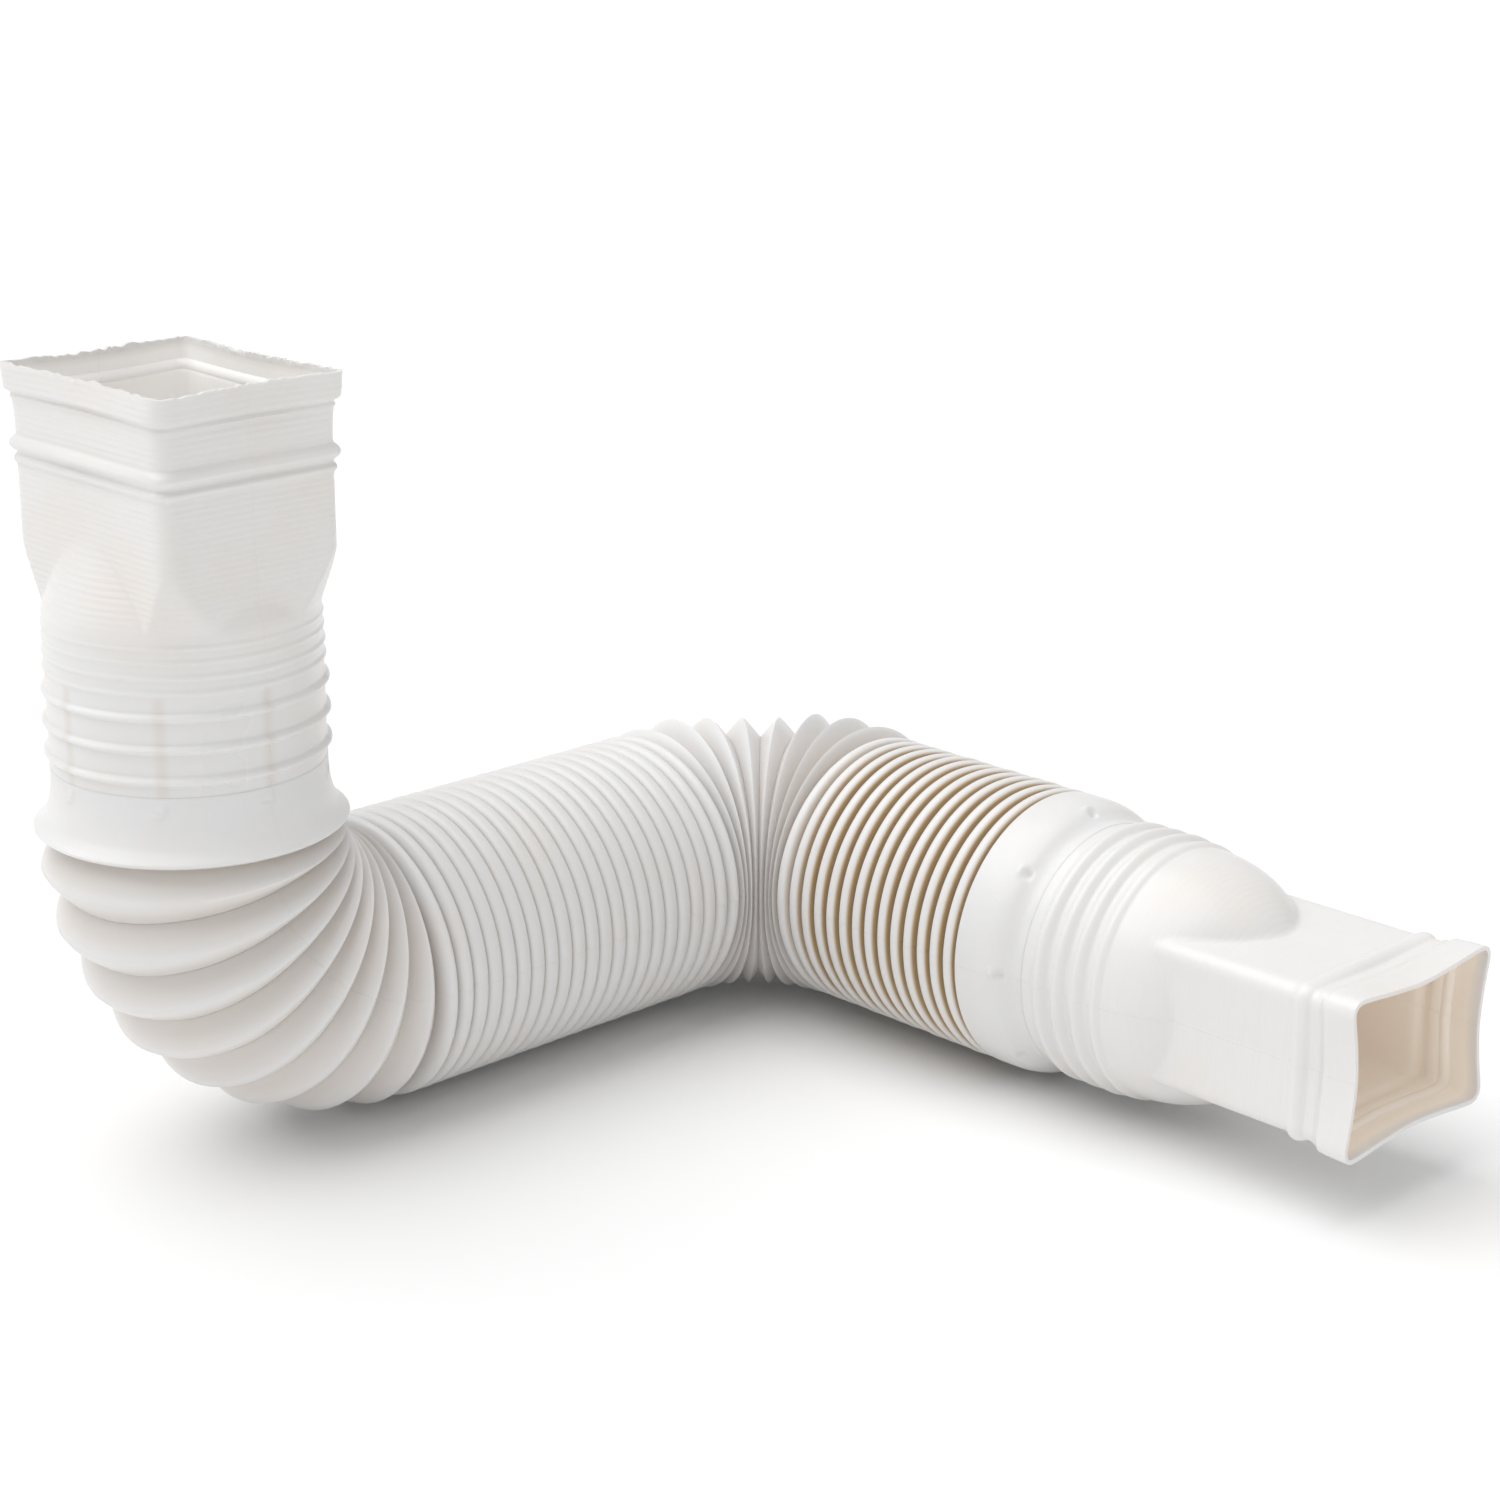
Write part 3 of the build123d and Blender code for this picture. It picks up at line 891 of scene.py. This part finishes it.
def make_connector(name, form, half_wide, half_deep, top, seam_at, ragged):
    """One connector upright on its mouth plane: a rolled tube with all its raised detail."""
    setup = settings("duct_connectors")

    def shape(turn, height):
        reach = connector_reach(form, half_wide, half_deep, top, turn, height)
        reach += 0.6 * MM * hump(height, -SPIGOT + 1.2 * MM, 1.3 * MM)
        edge = smooth_step(top - 3.0 * MM, top, height)
        place = Vector((cos(turn) * 9, sin(turn) * 9, 3.1))
        bite = noise.noise(place * 0.6) * 0.7 + noise.noise(place * 4.7) * 0.8
        reach += ragged * 0.45 * noise.noise(place * 5.3) * edge
        return reach, height + ragged * (bite * 0.8 - 0.35) * edge

    deselect_all()
    piece = wrapped_tube(name, setup.columns, connector_rows(form, top), shape)
    points = read_points(piece)
    store_seam(piece, angle_of(points), np.hypot(points[:, 0], points[:, 1]), seam_at)
    body_start = form["neck"] * MM
    store(piece, "lines", [smooth_step(body_start - 6 * MM, body_start + 12 * MM, height)
                           for height in points[:, 2]])
    bars = form["bars"] * MM
    store(piece, "bar", [near_turn(turn, EIGHTHS, 0.055) ** 0.5
                         * (1 - smooth_step(bars - 2 * MM, bars, height)) if bars else 0.0
                         for turn, height in zip(angle_of(points), points[:, 2])])
    return piece, points


def finish_connector(piece, node, finish, heights):
    finish_shell(piece, settings("duct_connectors").wall, heights)
    piece.data.materials.append(vinyl_for(finish))
    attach(piece, node)
    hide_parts(node)


# ---------------------------------------------------------------- operators

class BuildInlet(bpy.types.Operator):
    """Add the upright connector that takes the downspout"""
    bl_idname = "duct.inlet"
    bl_label = "Inlet connector"

    def execute(self, context):
        centre = middle("inlet_connector")
        piece, points = make_connector(
            "inlet_skin", INLET, INLET_HALF_X, INLET_HALF_Y,
            INLET_RIM - INLET_MOUTH, pi / 2, settings("duct_connectors").raggedness)
        put_in_place(piece, points, (centre.x, centre.y, INLET_MOUTH), RIGHT, AWAY, UP)
        finish_connector(piece, "inlet_connector", "inlet_vinyl", points[:, 2])
        return {"FINISHED"}


class BuildOutlet(bpy.types.Operator):
    """Add the level connector that lets the water out"""
    bl_idname = "duct.outlet"
    bl_label = "Outlet connector"

    def execute(self, context):
        centre = middle("outlet_connector")
        piece, points = make_connector(
            "outlet_skin", OUTLET, OUTLET_HALF_X, OUTLET_HALF_Z,
            OUTLET_MOUTH - OUTLET_RIM, 0.0, 0.0)
        put_in_place(piece, points, (centre.x, OUTLET_MOUTH, AXIS_Z), RIGHT, UP, NEAR)
        finish_connector(piece, "outlet_connector", "outlet_vinyl", points[:, 2])
        return {"FINISHED"}


HOSE_MOUTH = NECK_RADIUS + 0.2 * MM     # radius to which the hose's ends close on the necks
HOOK_RISE = 0.8 * MM
DIMPLE_DEPTH = 1.8 * MM
DIMPLE_LIP = 1.0 * MM


def plain_end(name, outline, columns, detail, seam_at):
    """An unpleated end of the hose, upright: a rolled tube along an outline."""
    deselect_all()
    piece = wrapped_tube(name, columns, outline,
                         lambda turn, place: (place[0] + detail(turn, place[1]), place[1]))
    points = read_points(piece)
    store_seam(piece, angle_of(points), np.full(len(points), CREST), seam_at)
    return piece, points


def finish_end(piece, node, tan_shade, crest, heights):
    hose = settings("duct_hose")
    # The first mask sets the painted tan shade and warm glow of the end's fold; crest sets where its
    # painted fold shade falls
    store(piece, "tan_shade", tan_shade)
    store(piece, "crest", crest)
    finish_shell(piece, hose.wall, heights)
    piece.data.materials.append(vinyl_for("hose_vinyl"))
    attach(piece, node)
    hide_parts(node)


class BuildCuff(bpy.types.Operator):
    """Add the hose's upper end, flared into one large crest"""
    bl_idname = "duct.cuff"
    bl_label = "Inlet cuff"

    def execute(self, context):
        hose = settings("duct_hose")
        length = INLET_MOUTH - HOSE_TOP
        valley = CREST - hose.pleat_depth
        keys = [(valley, 0), (valley + 4.5 * MM, 0.8 * MM), (CREST - 0.8 * MM, 2.2 * MM),
                (CREST + 1.1 * MM, 3.6 * MM), (CREST + 1.0 * MM, 4.5 * MM),
                (CREST - 1.0 * MM, 6.2 * MM), (CREST - 3.2 * MM, 9.0 * MM),
                (HOSE_MOUTH + 1.5 * MM, 13.0 * MM), (HOSE_MOUTH + 0.5 * MM, 17.5 * MM),
                (HOSE_MOUTH + 0.1 * MM, 22 * MM), (HOSE_MOUTH, length - 3 * MM),
                (HOSE_MOUTH, length - 0.3 * MM)]
        outline = curve_through(keys, 6) + [(HOSE_MOUTH - 0.1 * MM, length)]

        def hooks(turn, height):
            down = length - height
            bar = near_turn(turn, EIGHTHS, 0.035) * hump(down, 4.2 * MM, 3.6 * MM)
            foot = near_turn(turn, [mark - 0.05 for mark in EIGHTHS], 0.06)
            foot *= hump(down, 6.8 * MM, 1.5 * MM)
            return max(bar, foot) * HOOK_RISE

        piece, points = plain_end("inlet_cuff_skin", outline, hose.columns * 2, hooks, pi / 2)
        heights = points[:, 2]
        put_in_place(piece, points, (INLET_X, AXIS_Y, HOSE_TOP), RIGHT, AWAY, UP)
        # The cuff's fold gets a little painted tan shade and warm glow, and painted fold shade in
        # its lowest 3 mm
        finish_end(piece, "inlet_cuff", np.full(len(points), 0.12),
                   np.clip(heights / (3.0 * MM), 0, 1), heights)
        return {"FINISHED"}


class BuildCollar(bpy.types.Operator):
    """Add the hose's lower end: a smooth band whose shoulder closes to the mouth"""
    bl_idname = "duct.collar"
    bl_label = "Outlet collar"

    def execute(self, context):
        hose = settings("duct_hose")
        length = LEG_2_LOW.y - OUTLET_MOUTH
        valley = CREST - hose.pleat_depth
        keys = [(valley, 0), (valley + 5.5 * MM, 0.25 * MM), (CREST - 0.6 * MM, 1.0 * MM),
                (CREST, 2.2 * MM), (CREST, 7 * MM), (CREST - 0.15 * MM, 13 * MM),
                (CREST - 0.9 * MM, 17.5 * MM), (CREST - 2.4 * MM, 21.5 * MM),
                (HOSE_MOUTH + 1.6 * MM, 25 * MM), (HOSE_MOUTH + 0.3 * MM, 27.8 * MM),
                (HOSE_MOUTH, length - 0.3 * MM)]
        outline = curve_through(keys, 7) + [(HOSE_MOUTH - 0.1 * MM, length)]

        def dimples(turn, height):
            pit = near_turn(turn, EIGHTHS, 0.05) * hump(height, 22.5 * MM, 2.2 * MM)
            lip = near_turn(turn, EIGHTHS, 0.06) * hump(height, 19.4 * MM, 1.8 * MM)
            return lip * DIMPLE_LIP - pit * DIMPLE_DEPTH

        piece, points = plain_end("outlet_collar_skin", outline, hose.columns * 2, dimples, 0.0)
        heights = points[:, 2]
        put_in_place(piece, points, (OUTLET_X, LEG_2_LOW.y, AXIS_Z), RIGHT, UP, NEAR)
        # Painted tan shade at the collar's start, where it meets the second leg's folds, gone 2.5 mm
        # up; painted fold shade in its lowest 1.1 mm
        finish_end(piece, "outlet_collar", 1 - np.clip(heights / (2.5 * MM), 0, 1),
                   np.clip(heights / (1.1 * MM), 0, 1), heights)
        return {"FINISHED"}


class BuildLegs(bpy.types.Operator):
    """Add the shut pleats of both straight legs"""
    bl_idname = "duct.legs"
    bl_label = "Straight legs"

    def execute(self, context):
        # No painted tan shade in the first leg's folds
        make_leg(LEG_1, rippled_rise, Vector((LEG_1_LOW.x, AXIS_Y, AXIS_Z)), RIGHT, AWAY,
                 tan_shade=lambda share: 0.0, shallow=6.2 * MM)
        # Painted tan shade in the second leg's folds: 0.35 next to the bend, full from 0.18 of the
        # way along
        make_leg(LEG_2, closed_rise, Vector((OUTLET_X, LEG_2_HIGH.y, AXIS_Z)), NEAR, RIGHT,
                 tan_shade=lambda share: 0.35 + 0.65 * smooth_step(0, 0.18, share), shallow=0.0)
        return {"FINISHED"}


# Heights of the second bend's crests along it, in tent heights
CREST_HEIGHTS = (0.3, 1.2, 0.7, 0.4, 0.6, 1.2, 1.4, 1.1)
ROUND_FOLDS = 3             # of its pleats that have the first bend's outline


class BuildBends(bpy.types.Operator):
    """Add the fanned pleats of both quarter bends"""
    bl_idname = "duct.bends"
    bl_label = "Quarter bends"

    def execute(self, context):
        hose = settings("duct_hose")
        # The first bend's folds get a little painted tan shade and warm glow
        make_bend(ELBOW_1, [open_rise] * len(ELBOW_1), BEND_1_CENTRE, LEFT, DOWN, BEND_1_RADIUS,
                  tan_shade=lambda share: 0.2, runs_back=True, inner_lift=0.0,
                  proud=lambda index: 0.0, waver=0.08, seam_at=pi / 2)
        rises = [open_rise if index < ROUND_FOLDS else tent_rise for index in range(len(ELBOW_2))]
        # The second bend's painted tan shade grows towards the second leg, up to 0.3
        make_bend(ELBOW_2, rises, BEND_2_CENTRE, AWAY, RIGHT, BEND_2_RADIUS,
                  tan_shade=lambda share: 0.3 * share ** 3, runs_back=False,
                  inner_lift=hose.inner_lift, waver=0.12, seam_at=0.0,
                  proud=lambda index: hose.tent_height * CREST_HEIGHTS[index % len(CREST_HEIGHTS)])
        return {"FINISHED"}


FLOOR_SPANS = 70            # the floor's side in diagonals of the duct, to reach the horizon
FLOOR_DROP = 1.8 * MM       # room for the crests' unevenness under the frame
KEY_AIM = Vector((0.32, -0.30, -1.0))
CAMERA_AT = Vector((INLET_X - 0.6329, AXIS_Y - 0.9544, 0.5251))
CAMERA_TURN = (radians(72.92), 0, radians(-43.58))
CAMERA_SHIFT = (0.0263, -0.0228)


class BuildStage(bpy.types.Operator):
    """Add the floor, the soft light and the camera"""
    bl_idname = "duct.stage"
    bl_label = "Stage"

    def execute(self, context):
        setup = settings("duct_stage")
        scene = context.scene
        scene.view_settings.view_transform = "Standard"
        deselect_all()
        low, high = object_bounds()
        size = (high - low).length
        bpy.ops.mesh.primitive_plane_add(size=size * FLOOR_SPANS,
                                         location=(0, 0, low.z - FLOOR_DROP))
        floor = new_piece("floor")
        paint = Finish("floor_paint")
        where, _ = paint.place()
        dapple = paint.noise(where, 3.0, 2.0)
        colour = paint.mix(dapple, (0.90, 0.90, 0.90), (0.93, 0.93, 0.93))
        matte = paint.node("ShaderNodeBsdfDiffuse", {}, colour)
        paint.tree.links.new(matte.socket, paint.output.inputs[0])
        floor.data.materials.append(paint.material)
        floor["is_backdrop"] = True
        world = bpy.data.worlds.new("room")
        world.use_nodes = True
        background = world.node_tree.nodes["Background"]
        background.inputs[0].default_value = (1.0, 1.0, 1.0, 1.0)
        background.inputs[1].default_value = setup.room
        scene.world = world
        self.add_key(setup)
        self.add_camera(scene, setup)
        return {"FINISHED"}

    def add_key(self, setup):
        bpy.ops.object.light_add(type="SUN", location=(-0.6, 0.0, 1.2))
        lamp = bpy.context.object
        lamp.name = "key"
        lamp.data.energy = setup.key_strength
        lamp.data.angle = setup.key_spread
        lamp.rotation_euler = KEY_AIM.to_track_quat("-Z", "Y").to_euler()

    def add_camera(self, scene, setup):
        bpy.ops.object.camera_add(location=CAMERA_AT, rotation=CAMERA_TURN)
        camera = bpy.context.object
        camera.name = "camera"
        camera.data.lens = setup.lens
        camera.data.sensor_width = 36
        camera.data.shift_x, camera.data.shift_y = CAMERA_SHIFT
        scene.camera = camera


class DuctPanel(bpy.types.Panel):
    """The duct's settings and the buttons that build it"""
    bl_idname = "VIEW3D_PT_duct"
    bl_label = "Pleated duct"
    bl_space_type = "VIEW_3D"
    bl_region_type = "UI"
    bl_category = "Duct"

    def draw(self, context):
        for name, group in SETTINGS.items():
            box = self.layout.box()
            for field in group.__annotations__:
                box.prop(getattr(context.scene, name), field)
        for operator in OPERATORS:
            self.layout.operator(operator.bl_idname)


OPERATORS = (BuildInlet, BuildCuff, BuildBends, BuildLegs, BuildCollar, BuildOutlet, BuildStage)


def register():
    for kind in (*SETTINGS.values(), *OPERATORS, DuctPanel):
        bpy.utils.register_class(kind)
    for name, group in SETTINGS.items():
        setattr(bpy.types.Scene, name, bpy.props.PointerProperty(type=group))


def unregister():
    for name in SETTINGS:
        delattr(bpy.types.Scene, name)
    for kind in (DuctPanel, *reversed(OPERATORS), *SETTINGS.values()):
        bpy.utils.unregister_class(kind)


def main():
    register()
    bpy.ops.duct.inlet()
    bpy.ops.duct.cuff()
    bpy.ops.duct.bends()
    bpy.ops.duct.legs()
    bpy.ops.duct.collar()
    bpy.ops.duct.outlet()
    bpy.ops.duct.stage()


if __name__ == "__main__":
    main()
